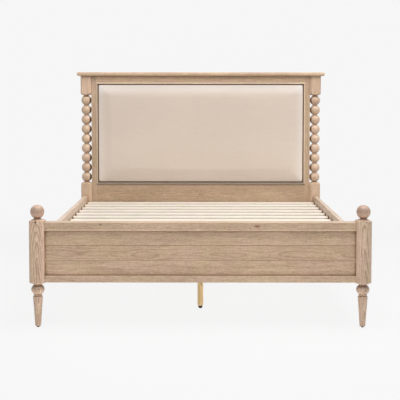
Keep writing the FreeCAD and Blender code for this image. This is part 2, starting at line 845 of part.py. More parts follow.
def centre_leg(y):
    height = beam_bottom - centre_leg_bottom
    leg = rod(centre_leg_radius, (0, y, centre_leg_bottom), (0, 0, 1), height)
    rims = [e for e in leg.Edges if len(e.Vertexes) == 1 and near(e.Vertexes[0].Z, centre_leg_bottom)]
    leg = leg.makeChamfer(centre_leg_chamfer, rims)
    seat = rod(insert_radius, (0, y, centre_leg_bottom), (0, 0, 1), insert_recess + insert_length)
    bore = rod(stud_radius + glue_gap, (0, y, centre_leg_bottom), (0, 0, 1), stud_length + loose_gap)
    return leg.cut(Part.makeCompound([seat, bore, leg_bolt(y, loose_gap)]))


def leg_insert(y):
    """The threaded sleeve in the bottom of a centre leg."""
    start = (0, y, centre_leg_bottom + insert_recess)
    sleeve = rod(insert_radius, start, (0, 0, 1), insert_length)
    return sleeve.cut(rod(stud_radius + thread_gap, start, (0, 0, 1), insert_length))


def levelling_foot(y):
    """A domed foot on a threaded stud, screwed up to the leg."""
    profile = Turning(0.0)
    profile.to(foot_flat, 0.0)
    dome = foot_height - foot_rim
    lean = (foot_radius - foot_flat) * sqrt(0.5)
    profile.curve(foot_flat + lean, dome * (1.0 - sqrt(0.5)), foot_radius, dome)
    profile.to(foot_radius, foot_height)
    profile.to(stud_radius, foot_height)
    profile.to(stud_radius, foot_height + stud_length)
    return profile.solid(0.0, y)


def pocket(face, into):
    """A folded steel pocket that carries one end of the beam; into is +1 or -1 along Y."""
    steel = pocket_steel
    inner = beam_width / 2.0 + glue_gap
    reach = face + into * pocket_depth
    plate = block(-inner - pocket_flange, inner + pocket_flange, face, face + into * steel,
                  beam_bottom - steel, beam_top + pocket_lug)
    cradle = block(-inner - steel, inner + steel, face, reach, beam_bottom - steel, beam_top - loose_gap)
    hollow = block(-inner, inner, face + into * steel, reach + into * steel, beam_bottom, beam_top)
    return joined([plate, cradle]).cut(hollow).cut(Part.makeCompound(pocket_screws(face, -into)))


def pocket_screws(face, into, holes=True):
    """Four screws through a pocket's flanges into the wood behind them."""
    grow = glue_gap if holes else 0.0
    x = beam_width / 2.0 + glue_gap + pocket_steel + pocket_flange / 2.0
    rows = (beam_top - pocket_screw_edge, beam_top + pocket_lug - pocket_screw_edge)
    spots = [(side * x, z) for side in (-1, 1) for z in rows]
    start = face - into * (pocket_steel + grow)
    return [screw((x, start, z), (0, into, 0), short_screw + 2.0 * grow,
                  wood_screw_radius + grow, wood_screw_head + grow) for x, z in spots]


# ---- corner brackets ----

def bracket(face, into):
    """The left angle bracket between a post and its rail; into is the way along the rail."""
    rail_leg = block(-rail_inner, -rail_inner + bracket_steel, face, face + into * bracket_leg,
                     bracket_bottom, bracket_top)
    post_leg = block(-rail_inner, -ledge_inner, face, face + into * bracket_steel,
                     bracket_bottom, bracket_top)
    angle = joined([rail_leg, post_leg])
    holes = [bolt_shank(face, into, z, glue_gap) for z in bolt_levels()]
    return angle.cut(Part.makeCompound(holes + bracket_screws(True)))


def bolt_levels():
    middle = (bracket_bottom + bracket_top) / 2.0
    return [middle - bolt_spacing / 2.0, middle + bolt_spacing / 2.0]


def bolt_x():
    return -(ledge_inner + rail_inner - bracket_steel) / 2.0


def bolt_shank(face, into, z, extra=0.0):
    start = face + into * (bracket_steel + extra)
    return rod(bolt_radius + min(extra, glue_gap), (bolt_x(), start, z), (0, -into, 0),
               bracket_steel + insert_recess + insert_length + extra)


def bolt(face, into, z):
    """A bolt through the bracket into the threaded sleeve in the post."""
    head = rod(bolt_head_radius, (bolt_x(), face + into * bracket_steel, z), (0, into, 0), bolt_head_height)
    return bolt_shank(face, into, z).fuse(head)


def insert_holes(face, depth_way):
    """Holes in a post for its two threaded sleeves."""
    return [rod(insert_radius, (bolt_x(), face, z), (0, depth_way, 0),
                insert_recess + insert_length + loose_gap) for z in bolt_levels()]


def post_insert(face, depth_way, z):
    start = (bolt_x(), face + depth_way * insert_recess, z)
    sleeve = rod(insert_radius, start, (0, depth_way, 0), insert_length)
    return sleeve.cut(rod(bolt_radius + thread_gap, start, (0, depth_way, 0), insert_length))


def bracket_screws(holes=False):
    """Screws through both left brackets into the rail."""
    grow = glue_gap if holes else 0.0
    found = []
    for face, into in ((foot_back, 1), (head_front, -1)):
        for z in spread(bracket_bottom, bracket_top, bracket_screw_edge, bracket_screw_count):
            spot = (-rail_inner + bracket_steel + grow, face + into * bracket_screw_reach, z)
            found.append(screw(spot, (-1, 0, 0), short_screw + 2.0 * grow,
                               wood_screw_radius + grow, wood_screw_head + grow))
    return found


def both_sides(shapes):
    return Part.makeCompound(shapes + [mirrored(s) for s in shapes])


# ---- the pieces ----

def add_pair(name, shape):
    nodes[name + "_left"] = shape
    nodes[name + "_right"] = mirrored(shape)


def make_headboard():
    add_pair("head_post", head_post())
    add_pair("head_stile", stile())
    nodes["headboard_cap"] = cap()
    nodes["head_top_rail"] = head_top_rail()
    nodes["head_bottom_rail"] = head_bottom_rail()
    middle = (opening_top + opening_bottom) / 2.0
    wide = 2.0 * opening_half
    tall = opening_top - opening_bottom
    nodes["panel_moulding_top"] = placed_moulding(wide, 0, 0, opening_top)
    nodes["panel_moulding_bottom"] = placed_moulding(wide, 180, 0, opening_bottom)
    nodes["panel_moulding_left"] = placed_moulding(tall, -90, -opening_half, middle)
    nodes["panel_moulding_right"] = placed_moulding(tall, 90, opening_half, middle)
    nodes["upholstered_panel"] = upholstered_panel()
    nodes["panel_backing_board"] = backing_board()
    nodes["headboard_rear_cover"] = rear_cover()
    nodes["rear_cover_screws"] = Part.makeCompound(cover_screws())
    nodes["headboard_dowels"] = Part.makeCompound(dowels())


def make_footboard():
    add_pair("foot_post", foot_post())
    add_pair("finial", finial())
    nodes["finial_screws"] = both_sides([finial_screw()])
    nodes["foot_top_rail"] = foot_top_rail()
    nodes["foot_bottom_rail"] = foot_bottom_rail()
    for i in range(panel_board_count):
        nodes["foot_panel_board_%d" % (i + 1)] = panel_board(i)


def make_deck():
    add_pair("side_rail", side_rail())
    add_pair("slat_ledge", slat_ledge())
    for i in range(slat_count):
        nodes["slat_%02d" % (i + 1)] = slat(i)
    screws = [slat_screw(slat_front(i)) for i in range(slat_count)]
    nodes["slat_and_ledge_screws"] = both_sides(screws + ledge_screws())


def make_centre_support():
    nodes["centre_beam"] = beam()
    nodes["beam_pocket_foot"] = pocket(panel_back, 1)
    nodes["beam_pocket_head"] = pocket(frame_front, -1)
    for i, y in enumerate(centre_leg_places()):
        nodes["centre_leg_%d" % (i + 1)] = centre_leg(y)
        nodes["levelling_foot_%d" % (i + 1)] = levelling_foot(y)
    nodes["centre_leg_bolts"] = Part.makeCompound([leg_bolt(y) for y in centre_leg_places()])


def make_metalwork():
    ends = ((foot_back, 1), (head_front, -1))
    nodes["rail_brackets"] = both_sides([bracket(face, into) for face, into in ends])
    nodes["bracket_bolts"] = both_sides([bolt(face, into, z) for face, into in ends for z in bolt_levels()])
    sleeves = [post_insert(face, -into, z) for face, into in ends for z in bolt_levels()]
    sleeves += [mirrored(s) for s in sleeves] + [leg_insert(y) for y in centre_leg_places()]
    nodes["threaded_inserts"] = Part.makeCompound(sleeves)
    pockets = pocket_screws(panel_back, -1, False) + pocket_screws(frame_front, 1, False)
    short = bracket_screws()
    nodes["bracket_screws"] = Part.makeCompound(short + [mirrored(s) for s in short] + pockets)
    nodes["corner_glides"] = both_sides([glide(foot_post_y), glide(head_post_y)])


def write_parts():
    os.makedirs("parts", exist_ok=True)
    for name, shape in nodes.items():
        if not shape.isValid():
            print("not valid:", name)
        shape.exportStep(os.path.join("parts", name + ".step"))
    print("nodes:", len(nodes), "solids:", sum(len(s.Solids) for s in nodes.values()))


make_headboard()
make_footboard()
make_deck()
make_centre_support()
make_metalwork()
write_parts()
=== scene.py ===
from dataclasses import dataclass
from math import radians

import bpy
from mathutils import Euler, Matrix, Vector


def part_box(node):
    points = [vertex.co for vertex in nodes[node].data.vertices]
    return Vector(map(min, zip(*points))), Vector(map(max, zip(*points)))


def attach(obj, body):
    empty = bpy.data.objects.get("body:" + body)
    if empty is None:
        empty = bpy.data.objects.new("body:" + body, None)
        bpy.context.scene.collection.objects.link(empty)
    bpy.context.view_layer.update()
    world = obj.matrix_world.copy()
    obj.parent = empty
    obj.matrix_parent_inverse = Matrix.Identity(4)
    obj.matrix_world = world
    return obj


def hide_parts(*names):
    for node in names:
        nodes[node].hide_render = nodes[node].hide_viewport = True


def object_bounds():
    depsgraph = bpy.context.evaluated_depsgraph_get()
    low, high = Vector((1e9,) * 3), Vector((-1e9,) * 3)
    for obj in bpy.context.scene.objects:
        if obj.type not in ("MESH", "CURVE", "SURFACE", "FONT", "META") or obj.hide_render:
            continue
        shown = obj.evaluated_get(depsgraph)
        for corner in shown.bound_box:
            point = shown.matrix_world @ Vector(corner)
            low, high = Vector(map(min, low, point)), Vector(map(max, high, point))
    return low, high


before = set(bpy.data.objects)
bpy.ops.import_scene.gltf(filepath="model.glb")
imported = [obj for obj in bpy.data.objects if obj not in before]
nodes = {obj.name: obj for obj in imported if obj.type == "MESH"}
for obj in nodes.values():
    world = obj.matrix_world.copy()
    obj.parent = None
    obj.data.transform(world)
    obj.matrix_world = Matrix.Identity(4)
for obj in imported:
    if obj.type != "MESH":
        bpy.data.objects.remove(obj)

# A spindle bed in washed oak: turned posts, a linen panel in the headboard, pine slats.
# Metres. +X is to the right seen from the foot of the bed, +Y runs towards the head, +Z is up.

cad_low, cad_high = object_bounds()

# ---- camera ----
camera_place = (0.0039, -5.8881, 1.1372)
camera_pitch = 3.406           # degrees downward
camera_yaw = -0.072            # degrees to the right
camera_roll = 0.040
camera_sensor = 36.0           # millimetres
camera_lens = 91.55            # millimetres, on that sensor
camera_shift = -0.1233         # upward, in picture widths

# ---- light ----
white = (1.0, 1.0, 1.0, 1.0)
backdrop = (0.922, 0.922, 0.922, 1.0)
# the soft light from each side: its direction and strength
sky_sides = {"front": ((0, -1, 0), 0.30), "back": ((0, 1, 0), 0.03), "left": ((-1, 0, 0), 0.55),
             "right": ((1, 0, 0), 0.62), "above": ((0, 0, 1), 0.25)}
top_light = 325.0              # watts
top_light_place = (0.8, -1.6, 4.6)
top_light_target = (0.0, -0.2, 0.4)
top_light_size = (6.0, 4.2)
floor_size = 60.0
floor_colour = (0.88, 0.88, 0.88, 1.0)
shadow_share = 0.08            # how much of the floor near the bed takes light and shadow
shadow_near = 1.6              # metres from the bed's middle to where its shadow starts to fade
shadow_far = 4.0


def linear(red, green, blue):
    """A colour given as 0 to 255 on screen, as the light that it stands for."""
    def channel(c):
        c = c / 255.0
        return c / 12.92 if c <= 0.04045 else ((c + 0.055) / 1.055) ** 2.4
    return (channel(red), channel(green), channel(blue), 1.0)


def scaled(colour, factor):
    """The colour made lighter or darker, white at most."""
    return tuple(min(1.0, c * factor) for c in colour[:3]) + (1.0,)


# ---- node trees ----
corner_samples = 8
open_corner = 0.92             # ambient occlusion where a corner starts to tell
closed_corner = 0.30           # and where it is fully dark
coat_roughness = 0.3


class Shading:
    """A material's node tree, with short calls for the nodes that it is made of."""

    def __init__(self, name):
        self.material = bpy.data.materials.new(name)
        self.material.use_nodes = True
        self.begin(self.material.node_tree)

    def begin(self, tree):
        self.tree = tree
        self.tree.nodes.clear()
        self.place = None

    @classmethod
    def of_world(cls, world):
        shade = cls.__new__(cls)
        shade.begin(world.node_tree)
        return shade

    def add(self, kind, **settings):
        node = self.tree.nodes.new(kind)
        for key, value in settings.items():
            setattr(node, key, value)
        return node

    def feed(self, socket, value):
        """Links a socket, or sets its own number."""
        if isinstance(value, bpy.types.NodeSocket):
            self.tree.links.new(value, socket)
        else:
            socket.default_value = value

    def math(self, operation, a, b=0.0, clamp=False):
        node = self.add("ShaderNodeMath", operation=operation, use_clamp=clamp)
        self.feed(node.inputs[0], a)
        self.feed(node.inputs[1], b)
        return node.outputs[0]

    def vector(self, operation, a, b=(0.0, 0.0, 0.0)):
        node = self.add("ShaderNodeVectorMath", operation=operation)
        self.feed(node.inputs[0], a)
        self.feed(node.inputs[1], b)
        return node.outputs["Value" if operation in ("LENGTH", "DOT_PRODUCT") else "Vector"]

    def parts(self, vector):
        """A vector's X, Y and Z."""
        node = self.add("ShaderNodeSeparateXYZ")
        self.feed(node.inputs[0], vector)
        return node.outputs

    def weighed(self, pairs):
        """The sum of some values, each times its weight."""
        total = 0.0
        for value, weight in pairs:
            total = self.math("ADD", self.math("MULTIPLY", value, weight), total)
        return total

    def object_place(self):
        if self.place is None:
            self.place = self.add("ShaderNodeTexCoord").outputs["Object"]
        return self.place

    def noise(self, vector, scale, detail=2.0, roughness=0.5):
        node = self.add("ShaderNodeTexNoise")
        self.feed(node.inputs["Vector"], vector)
        self.feed(node.inputs["Scale"], scale)
        self.feed(node.inputs["Detail"], detail)
        self.feed(node.inputs["Roughness"], roughness)
        return node.outputs["Fac"]

    def stretched_noise(self, place, rates, detail=2.0, roughness=0.5):
        """Noise with its own rate along each axis, per metre."""
        return self.noise(self.vector("MULTIPLY", place, rates), 1.0, detail, roughness)

    def spread(self, value, low, high, to_low=0.0, to_high=1.0):
        """Maps low..high to to_low..to_high, held at its ends."""
        node = self.add("ShaderNodeMapRange", interpolation_type="SMOOTHSTEP")
        for socket, given in zip(node.inputs, (value, low, high, to_low, to_high)):
            self.feed(socket, given)
        return node.outputs["Result"]

    def mix(self, share, a, b, blend="MIX"):
        node = self.add("ShaderNodeMix", data_type="RGBA", blend_type=blend)
        self.feed(node.inputs["Factor"], share)
        self.feed(node.inputs["A"], a)
        self.feed(node.inputs["B"], b)
        return node.outputs["Result"]

    def tinted(self, colour, tint, share=1.0):
        """The colour times a tint, as far as the share goes."""
        return self.mix(share, colour, tint, "MULTIPLY")

    def looked_at(self):
        """1 where a surface is seen straight, in a reflection or through glass, 0 where it lights."""
        path = self.add("ShaderNodeLightPath")
        seen = self.math("MAXIMUM", path.outputs["Is Camera Ray"], path.outputs["Is Glossy Ray"])
        return self.math("MAXIMUM", seen, path.outputs["Is Transmission Ray"])

    def crevice(self, reach):
        """1 deep in a corner or groove, 0 out in the open."""
        node = self.add("ShaderNodeAmbientOcclusion", samples=corner_samples)
        self.feed(node.inputs["Distance"], reach)
        return self.spread(node.outputs["AO"], open_corner, closed_corner)

    def grey(self, value):
        node = self.add("ShaderNodeCombineColor")
        for socket in node.inputs[:3]:
            self.feed(socket, value)
        return node.outputs["Color"]

    def bump(self, height, distance, strength=1.0):
        node = self.add("ShaderNodeBump")
        self.feed(node.inputs["Height"], height)
        self.feed(node.inputs["Distance"], distance)
        self.feed(node.inputs["Strength"], strength)
        return node.outputs["Normal"]

    def finish(self, colour, roughness, normal, metallic=0.0, sheen=0.0, specular=0.5, coat=0.0):
        shader = self.add("ShaderNodeBsdfPrincipled")
        self.feed(shader.inputs["Base Color"], colour)
        self.feed(shader.inputs["Roughness"], roughness)
        self.feed(shader.inputs["Normal"], normal)
        shader.inputs["Metallic"].default_value = metallic
        shader.inputs["Sheen Weight"].default_value = sheen
        shader.inputs["Specular IOR Level"].default_value = specular
        shader.inputs["Coat Weight"].default_value = coat
        shader.inputs["Coat Roughness"].default_value = coat_roughness
        output = self.add("ShaderNodeOutputMaterial")
        self.feed(output.inputs["Surface"], shader.outputs["BSDF"])
        return self.material


# ---- wood: how a board was cut ----

@dataclass
class Figure:
    """How a board was cut and how strongly its figure shows."""
    ring: float                # the spacing of the growth rings
    pith: tuple                # their axis from the board's middle: across the face, then in depth
    lean: float                # how far that axis tips over along the board, in degrees
    sway: float                # how far the rings wander, in rings
    rings: float               # from here on: how much each thing darkens the wood
    streaks: float
    fibres: float
    flecks: float
    patches: float
    pores: float = 0.25


straight = Figure(0.009, (0.33, 0.12), 0.5, 2.0, rings=0.20,
                  streaks=0.7, fibres=1.1, flecks=1.1, patches=0.8)
flamed = Figure(0.0065, (0.008, 0.050), -4.5, 6.0, rings=0.75,
                streaks=0.5, fibres=0.7, flecks=0.8, patches=0.6)
turned = Figure(0.0085, (0.020, 0.028), 2.5, 2.5, rings=0.40,
                streaks=0.6, fibres=0.7, flecks=0.6, patches=0.9)
softwood = Figure(0.008, (0.10, 0.05), 1.0, 2.0, rings=0.20,
                  streaks=0.4, fibres=0.4, flecks=0.2, patches=0.6, pores=0.0)
wavy = Figure(0.0065, (0.010, 0.040), 0.8, 4.5, rings=0.50,
              streaks=0.5, fibres=0.9, flecks=1.1, patches=0.8)
peeled = Figure(0.030, (0.02, 0.16), 3.0, 2.0, rings=0.30,
                streaks=0.7, fibres=0.8, flecks=0.3, patches=0.8)

# ---- wood: its noises ----
# each one's rates across the face, in depth and along the grain, per metre, and its detail
wood_noises = {"fibre": ((240.0, 240.0, 20.0), 3.0), "fleck": ((250.0, 250.0, 85.0), 2.0),
               "streak": ((62.0, 62.0, 4.0), 3.0), "patch": ((7.0, 7.0, 2.2), 3.0),
               "hue": ((13.0, 13.0, 9.0), 3.0), "pore": ((900.0, 900.0, 38.0), 2.0)}
wood_noise_roughness = 0.55
seed_step = (3.1, 1.3, 0.7)            # how far one seed lies from the next, in metres
noise_middle = 0.5                     # the noise that neither lightens nor darkens
sway_rates = (8.0, 8.0, 3.4)           # the rings' slow wandering
ripple_rates = (60.0, 60.0, 11.0)      # and their quick one
ripple_share = 0.6                     # how far the quick one goes, in rings
ring_seed_step = (1.0, 1.7, 0.3)
side_lean = 0.5                        # how far the rings' axis tips sideways, as a share of its lean
late_wood = 2.5                        # the power by which a ring darkens towards its outer edge
ring_end = 0.86                        # where in a ring it stops
pore_edges = (0.56, 0.68)              # the noise where a pore begins and where it is full
pore_weight = 0.5
pore_depth = 0.8                       # against the height of the fibres
plain_depth = 0.40                     # plain wood's place between a piece's two tones
hue_span = (0.35, 0.65)                # the noise from rosy to golden wood
rosy = (1.02, 0.975, 0.99, 1.0)
golden = (1.0, 1.0, 0.93, 1.0)
gloss_span = (0.25, 0.75)              # the noise from smoother to rougher fibres
smoother, rougher = 0.06, 0.08         # how far they move the roughness
fibre_height = 0.00012
knot_span = (1.35, 0.7)                # from a knot's edge to its full colour, in knot sizes
knot_ragged = 0.5                      # how far that edge strays, in knot sizes
knot_ragged_rate = 120.0
side_shade_start = (0.001, 0.003)           # metres below a flat top, where the painted side shade sets in

# ---- wood: its painted shade ----
painted_corner_shade = (0.42, 0.29, 0.20, 1.0)        # painted shade, brown, in corners and grooves
painted_corner_shade_thin = (0.66, 0.55, 0.46, 1.0)   # the same painted shade, thinner, on the turned posts
painted_corner_shade_reach = 0.020
# painted shadow on the beads' side towards the stile
painted_stile_shadow = {"left": (0.30, 0.22, 0.17, 1.0), "right": (0.60, 0.52, 0.46, 1.0)}
stile_shadow_span = (0.021, 0.027)       # metres from the post's middle
bead_levels = (0.5119, 1.1005)         # the lowest bead's lower end and the highest one's upper end
bead_fade = 0.002
seam_boards = ("foot_panel_board_1", "foot_panel_board_2")
seam_span = (0.006, 0.014)             # metres from their seam to where the painted corner shade comes back
seam_shade_share = 0.1                       # the share of the painted corner shade kept at the seam

# painted light and shade across a piece, such as balls darker under the blocks above them: places
# along an axis, and the level at each
foot_post_painted_light = ("Z", ((0.1605, 1.0), (0.164, 1.35), (0.180, 1.12), (0.193, 0.72),
                     (0.203, 0.72), (0.209, 1.15), (0.217, 1.25), (0.224, 1.0)))
finial_painted_light = ("Z", ((0.530, 0.85), (0.535, 1.22), (0.543, 1.18), (0.552, 1.05),
                     (0.559, 0.82), (0.572, 0.72), (0.582, 0.88), (0.5909, 1.0)))
painted_light_stops = {"foot_post_left": (("X", ((-0.800, 0.98), (-0.752, 1.13))), foot_post_painted_light),
          "foot_post_right": (("X", ((0.752, 1.11), (0.800, 0.93))), foot_post_painted_light),
          "finial_left": (finial_painted_light,),
          "finial_right": (finial_painted_light,),
          "foot_top_rail": (("Z", ((0.4680, 1.12), (0.4745, 1.14), (0.4765, 1.0))),),
          "panel_moulding_bottom": (("Z", ((0.499, 1.0), (0.504, 0.42))),),
          "head_bottom_rail": (("Z", ((0.484, 1.0), (0.491, 0.58))),)}
brightest_painted_light = 1.5                  # the level that a colour ramp's white stands for


def in_the_board(shade, name, axes):
    """The place from the node's middle: across its face, in depth, then along the grain."""
    low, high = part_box(name)
    middle = tuple((low + high) / 2.0)
    from_middle = shade.parts(shade.vector("SUBTRACT", shade.object_place(), middle))
    turned_round = shade.add("ShaderNodeCombineXYZ")
    for socket, axis in zip(turned_round.inputs, axes):
        shade.feed(socket, from_middle[axis])
    return turned_round.outputs[0]


def seeded(shade, place, seed, step):
    """The place moved on by a seed, so that no two pieces have the same figure."""
    return shade.vector("ADD", place, tuple(along * seed for along in step))


def growth_rings(shade, place, figure, seed):
    """Late wood as a share: it darkens towards each ring's outer edge, then stops."""
    side = -1.0 if seed % 2.0 < 1.0 else 1.0
    axis = shade.add("ShaderNodeMapping")
    shade.feed(axis.inputs["Vector"], place)
    shade.feed(axis.inputs["Location"], (side * figure.pith[0], figure.pith[1], 0.0))
    tips = (radians(figure.lean), radians(side * figure.lean * side_lean), 0.0)
    shade.feed(axis.inputs["Rotation"], tips)
    flat = shade.vector("MULTIPLY", axis.outputs[0], (1.0, 1.0, 0.0))
    moved = seeded(shade, place, seed, ring_seed_step)
    wander = shade.weighed(((shade.stretched_noise(moved, sway_rates), figure.sway * figure.ring),
                            (shade.stretched_noise(moved, ripple_rates), ripple_share * figure.ring)))
    radius = shade.math("ADD", shade.vector("LENGTH", flat), wander)
    share = shade.math("FRACT", shade.math("MULTIPLY", radius, 1.0 / figure.ring))
    rise = shade.math("POWER", share, late_wood)
    return shade.math("MULTIPLY", rise, shade.spread(share, 1.0, ring_end))


def knotted(shade, colour, knots):
    """The colour with ragged knots: place, size along each axis, strength and tone of each."""
    place = shade.object_place()
    for spot, size, strength, tone in knots:
        away = shade.vector("DIVIDE", shade.vector("SUBTRACT", place, spot), size)
        ragged = shade.math("MULTIPLY", shade.noise(place, knot_ragged_rate), knot_ragged)
        reach = shade.math("ADD", shade.vector("LENGTH", away), ragged)
        colour = shade.mix(shade.spread(reach, *knot_span, 0.0, strength), colour, tone)
    return colour


def with_painted_light(shade, colour, axis, stops):
    """The colour with painted light and shade through the given stops along an axis."""
    first, last = stops[0][0], stops[-1][0]
    along = shade.math("SUBTRACT", shade.parts(shade.object_place())[axis], first)
    ramp = shade.add("ShaderNodeValToRGB")
    shade.feed(ramp.inputs["Fac"], shade.math("DIVIDE", along, last - first, clamp=True))
    elements = ramp.color_ramp.elements
    for place, _ in stops[1:-1]:
        elements.new((place - first) / (last - first))
    for element, (_, level) in zip(elements, stops):
        element.color = (level / brightest_painted_light,) * 3 + (1.0,)
    levels = shade.vector("SCALE", ramp.outputs["Color"])
    levels.node.inputs["Scale"].default_value = brightest_painted_light
    return shade.tinted(colour, levels)


def stile_shade(shade, name, colour):
    """Painted shadow on the beads' side towards the stile."""
    low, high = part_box(name)
    place = shade.parts(shade.object_place())
    across = shade.math("SUBTRACT", place["X"], (low.x + high.x) / 2.0)
    inward = shade.math("MULTIPLY", across, -1.0 if low.x > 0.0 else 1.0)
    lowest, highest = bead_levels
    share = shade.spread(inward, *stile_shadow_span)
    for start, end in ((lowest, lowest + bead_fade), (highest, highest - bead_fade)):
        share = shade.math("MULTIPLY", share, shade.spread(place["Z"], start, end))
    return shade.tinted(colour, painted_stile_shadow[name.split("_")[-1]], share)


def away_from_seam(shade):
    """Near 0 at the foot panel's lower seam, where most of the painted corner shade is left off, and 1
    elsewhere."""
    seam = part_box("foot_panel_board_2")[0].z
    height = shade.parts(shade.object_place())["Z"]
    distance = shade.math("ABSOLUTE", shade.math("SUBTRACT", height, seam))
    return shade.spread(distance, *seam_span, seam_shade_share, 1.0)


def wood(name, tones, axes, seed, figure, knots=(), roughness=0.46, painted_side_shade=1.0, coat=0.3):
    """Sawn or turned wood: rings, streaks, fibres, pores, patches, a drift in hue, and knots.

    The argument after roughness is how light the sides under a flat top are painted, against that top:
    painted shade."""
    shade = Shading("wood_" + name)
    place = in_the_board(shade, name, axes)
    moved = seeded(shade, place, seed, seed_step)
    noises = {kind: shade.stretched_noise(moved, rates, detail, wood_noise_roughness)
              for kind, (rates, detail) in wood_noises.items()}
    pore = shade.spread(noises["pore"], *pore_edges)
    marks = [(growth_rings(shade, place, figure, seed), figure.rings),
             (pore, figure.pores * pore_weight)]
    for kind, weight in (("fibre", figure.fibres), ("fleck", figure.flecks),
                         ("streak", figure.streaks), ("patch", figure.patches)):
        marks.append((shade.math("SUBTRACT", noises[kind], noise_middle), weight))
    depth = shade.math("ADD", shade.weighed(marks), plain_depth, clamp=True)
    colour = shade.mix(depth, *tones)
    colour = shade.mix(shade.spread(noises["hue"], *hue_span),
                       shade.tinted(colour, rosy), shade.tinted(colour, golden))
    colour = knotted(shade, colour, knots)
    # painted shade on the sides under a flat top
    if painted_side_shade < 1.0:
        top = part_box(name)[1].z
        height = shade.parts(shade.object_place())["Z"]
        edge = shade.spread(height, top - side_shade_start[0], top - side_shade_start[1])
        colour = shade.tinted(colour, (painted_side_shade, painted_side_shade, painted_side_shade, 1.0), edge)
    # painted shadow on the beads next to the stile
    if name.startswith("head_post_"):
        colour = stile_shade(shade, name, colour)
    # painted light and shade along the listed axes
    for axis, stops in painted_light_stops.get(name, ()):
        colour = with_painted_light(shade, colour, axis, stops)
    # painted shade in corners and grooves
    corner_shade_share = shade.crevice(painted_corner_shade_reach)
    if name in seam_boards:
        corner_shade_share = shade.math("MULTIPLY", corner_shade_share, away_from_seam(shade))
    colour = shade.tinted(colour, painted_corner_shade_thin if "_post_" in name else painted_corner_shade, corner_shade_share)
    relief = shade.math("SUBTRACT", noises["fibre"], shade.math("MULTIPLY", pore, pore_depth))
    rough = shade.spread(noises["fibre"], *gloss_span, roughness - smoother, roughness + rougher)
    return shade.finish(colour, rough, shade.bump(relief, fibre_height), coat=coat)


# ---- linen ----
weft_rates = (190.0, 300.0, 1300.0)    # of the threads' noise along each axis, per metre
warp_rates = (1300.0, 300.0, 190.0)
slub_rates = (14.0, 14.0, 420.0)
cloud_rates = (3.0, 3.0, 3.0)
cloud_detail = 3.0
weave_share, slub_share, cloud_share = 0.30, 0.14, 0.10
dye_span = (0.18, 0.36)                # the sum of those where the dye is darkest and palest
dye_levels = (0.93, 1.06)
height_span = (-0.30, 0.30)              # heights from the panel's middle
height_levels = (1.055, 0.930)           # and how pale the fabric is there: paler towards the bottom, darker towards the top
# painted light on the pad's sloped border: metres from the edge to where it starts and where it is
# full, and its tint
painted_side_light = (0.070, 0.0, (1.10, 1.15, 1.21, 1.0))
painted_top_light = (0.080, 0.030, (1.15, 1.21, 1.31, 1.0))
painted_fold_shade = (0.42, 0.28, 0.18, 1.0)    # painted shade where the fabric turns in at the moulding
fold_reach = 0.014
thread_height = 0.0004
thread_strength = 0.6
linen_roughness = 0.88
linen_sheen = 0.15
linen_specular = 0.2


def linen(name, colour):
    """Plain weave: warp and weft threads, slubs, and a little unevenness in the dye."""
    shade = Shading(name)
    place = shade.object_place()
    threads = shade.math("ADD", shade.stretched_noise(place, weft_rates),
                         shade.stretched_noise(place, warp_rates))
    weave = shade.math("MULTIPLY", threads, 0.5)
    tone = shade.weighed(((weave, weave_share),
                          (shade.stretched_noise(place, slub_rates), slub_share),
                          (shade.stretched_noise(place, cloud_rates, cloud_detail), cloud_share)))
    level = shade.spread(tone, *dye_span, *dye_levels)
    low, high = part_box("upholstered_panel")
    half = (high - low) / 2.0
    from_middle = shade.parts(shade.vector("SUBTRACT", place, tuple((low + high) / 2.0)))
    sideways = shade.math("SUBTRACT", half.x, shade.math("ABSOLUTE", from_middle["X"]))
    upward = shade.math("SUBTRACT", half.z, from_middle["Z"])
    by_height = shade.spread(from_middle["Z"], *height_span, *height_levels)
    linen_colour = shade.tinted(colour, shade.grey(shade.math("MULTIPLY", level, by_height)))
    # painted light on the pad's sloped border
    for inward, (start, full, tint) in ((sideways, painted_side_light), (upward, painted_top_light)):
        linen_colour = shade.tinted(linen_colour, tint, shade.spread(inward, start, full))
    # painted shade in the fold at the moulding
    linen_colour = shade.tinted(linen_colour, painted_fold_shade, shade.crevice(fold_reach))
    return shade.finish(linen_colour, linen_roughness, shade.bump(weave, thread_height, thread_strength),
                        sheen=linen_sheen, specular=linen_specular)


# ---- plastic and metal ----
texture_span = (0.3, 0.7)              # the texture's noise from glossier to duller
scuffed = 2.2                          # how much lighter plastic is where it is worn
thin_coat = 1.5                        # how much lighter powder coat is where it is thin
dulled = 0.82                          # how much of its brightness zinc keeps where it is dull


def hard_skin(name, tones, wear, texture, gloss, height, metallic=0.0):
    """A moulded, coated or plated surface.

    wear is the noise between its two tones: rates, detail, the levels that it acts between and
    its greatest share. texture is the noise of the skin itself: rates and detail. gloss is the
    roughness at the texture's low and high places, and height how far it stands out."""
    shade = Shading(name)
    rates, detail, span, most = wear
    worn = shade.spread(shade.stretched_noise(shade.object_place(), rates, detail), *span, 0.0, most)
    skin = shade.stretched_noise(shade.object_place(), *texture)
    return shade.finish(shade.mix(worn, *tones), shade.spread(skin, *texture_span, *gloss),
                        shade.bump(skin, height), metallic=metallic)


def moulded_plastic(name, colour):
    return hard_skin(name, (colour, scaled(colour, scuffed)),
                     wear=((60.0, 60.0, 60.0), 2.0, (0.35, 0.75), 0.35),
                     texture=((900.0, 900.0, 900.0), 3.0), gloss=(0.38, 0.50), height=0.00005)


def powder_coat(name, colour):
    return hard_skin(name, (colour, scaled(colour, thin_coat)),
                     wear=((1400.0, 1400.0, 1400.0), 2.0, (0.35, 0.65), 1.0),
                     texture=((1400.0, 1400.0, 1400.0), 2.0), gloss=(0.42, 0.58), height=0.00008)


def zinc(name, colour):
    return hard_skin(name, (scaled(colour, dulled), colour),
                     wear=((240.0, 240.0, 240.0), 3.0, (0.30, 0.70), 1.0),
                     texture=((1800.0, 90.0, 1800.0), 3.0), gloss=(0.28, 0.46), height=0.00004,
                     metallic=1.0)


